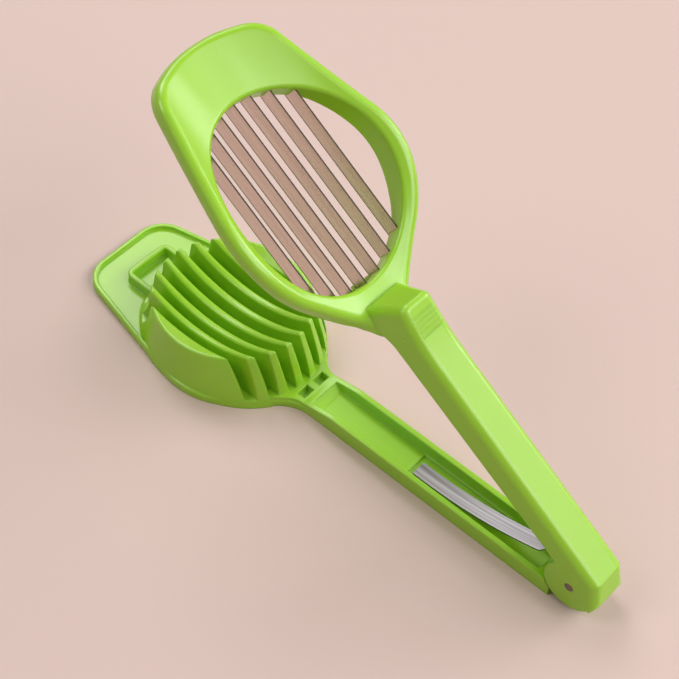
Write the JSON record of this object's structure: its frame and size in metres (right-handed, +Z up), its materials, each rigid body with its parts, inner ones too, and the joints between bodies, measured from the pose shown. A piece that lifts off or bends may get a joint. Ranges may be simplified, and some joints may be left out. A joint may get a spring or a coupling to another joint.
{
  "type": "egg slicer",
  "caption": "Hand-held egg slicer: a hinged frame of straight steel blades is squeezed down through an egg on a finned plastic cup, and a leaf spring lifts it again.",
  "frame": {"origin": "on the table under the middle of the egg cup, on the base's flat underside", "axes": "+X from the cup to the hinge, +Z up, and the near side of the picture is -Y"},
  "size_m": [0.2025, 0.068, 0.1144],
  "materials": {
    "green_plastic": "gloss",
    "blade_steel": "brushed",
    "spring_steel": "brushed",
    "pin_steel": "satin"
  },
  "bodies": {
    "base": {"base_body": "green_plastic", "leaf_spring": "spring_steel"},
    "cutter": {"cutter_frame": "green_plastic", "blade_1": "blade_steel", "blade_2": "blade_steel", "blade_3": "blade_steel", "blade_4": "blade_steel", "blade_5": "blade_steel", "blade_6": "blade_steel", "blade_7": "blade_steel", "hinge_pin": "pin_steel"}
  },
  "joints": [
    {"name": "frame_hinge", "type": "hinge", "parent": "base", "child": "cutter", "pos_m": [0.14, 0, 0.011], "axis": [0, 1, 0], "range_deg": [-31, 0], "stiffness_Nm_per_rad": 0.3, "springref_deg": 20.05, "deforming": ["leaf_spring"]}
  ]
}
